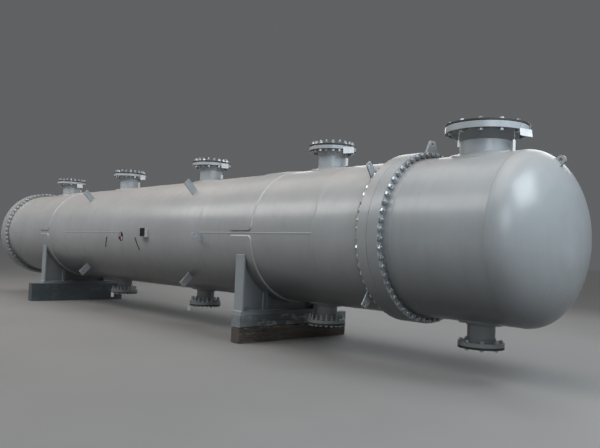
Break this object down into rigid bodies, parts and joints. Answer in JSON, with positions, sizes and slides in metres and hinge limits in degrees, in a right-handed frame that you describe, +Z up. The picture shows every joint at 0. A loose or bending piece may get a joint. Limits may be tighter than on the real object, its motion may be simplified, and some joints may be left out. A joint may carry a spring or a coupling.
{
  "type": "shell and tube heat exchanger",
  "caption": "Long horizontal shell and tube heat exchanger on two saddles, with bolted girth flanges, dished heads and closed flanged nozzles.",
  "frame": {"origin": "on the floor, under the middle of the vessel", "axes": "+X along the vessel towards the channel end, +Y across it away from the side with the nameplate bracket, +Z up"},
  "size_m": [15.686, 2.5, 2.965],
  "materials": {
    "vessel_paint": "satin silver-grey paint",
    "channel_paint": "satin silver-grey paint, slightly cooler",
    "machined_steel": "machined",
    "gasket": "dull",
    "cover_plate": "dark primed steel plate",
    "packing_paint": "satin grey paint",
    "block_paint": "dull dark paint",
    "timber": "rough sawn, oil stained"
  },
  "bodies": {
    "root": {"shell": "vessel_paint", "shell_flange_front": "vessel_paint", "shell_flange_rear": "vessel_paint", "bonnet_flange": "vessel_paint", "bonnet_barrel": "vessel_paint", "bonnet_head": "vessel_paint", "top_nozzle_1": "vessel_paint", "top_nozzle_2": "vessel_paint", "top_nozzle_3": "vessel_paint", "top_nozzle_4": "vessel_paint", "low_nozzle_1": "vessel_paint", "low_nozzle_2": "vessel_paint", "low_nozzle_3": "vessel_paint", "shell_nozzle_pads": "vessel_paint", "wrapper_front": "vessel_paint", "wrapper_rear": "vessel_paint", "shell_lugs": "vessel_paint", "side_plate": "vessel_paint", "nameplate_bracket": "vessel_paint", "saddle_web_front": "vessel_paint", "saddle_ribs_front": "vessel_paint", "saddle_base_front": "vessel_paint", "saddle_web_rear": "vessel_paint", "saddle_ribs_rear": "vessel_paint", "saddle_base_rear": "vessel_paint", "channel_flange": "channel_paint", "channel_barrel": "channel_paint", "channel_head": "channel_paint", "inlet_nozzle": "channel_paint", "outlet_nozzle": "channel_paint", "channel_nozzle_pads": "channel_paint", "joint_lifting_eye": "channel_paint", "head_lifting_eye": "channel_paint", "tubesheet_front": "machined_steel", "tubesheet_rear": "machined_steel", "pass_partition": "machined_steel", "earth_lugs": "machined_steel", "gasket_front": "gasket", "gasket_rear": "gasket", "top_cover_1": "cover_plate", "top_cover_2": "cover_plate", "top_cover_3": "cover_plate", "top_cover_4": "cover_plate", "low_cover_1": "cover_plate", "low_cover_2": "cover_plate", "low_cover_3": "cover_plate", "inlet_cover": "cover_plate", "outlet_cover": "cover_plate", "packing_front": "packing_paint", "block_rear": "block_paint", "baulk_front": "timber"}
  },
  "joints": []
}
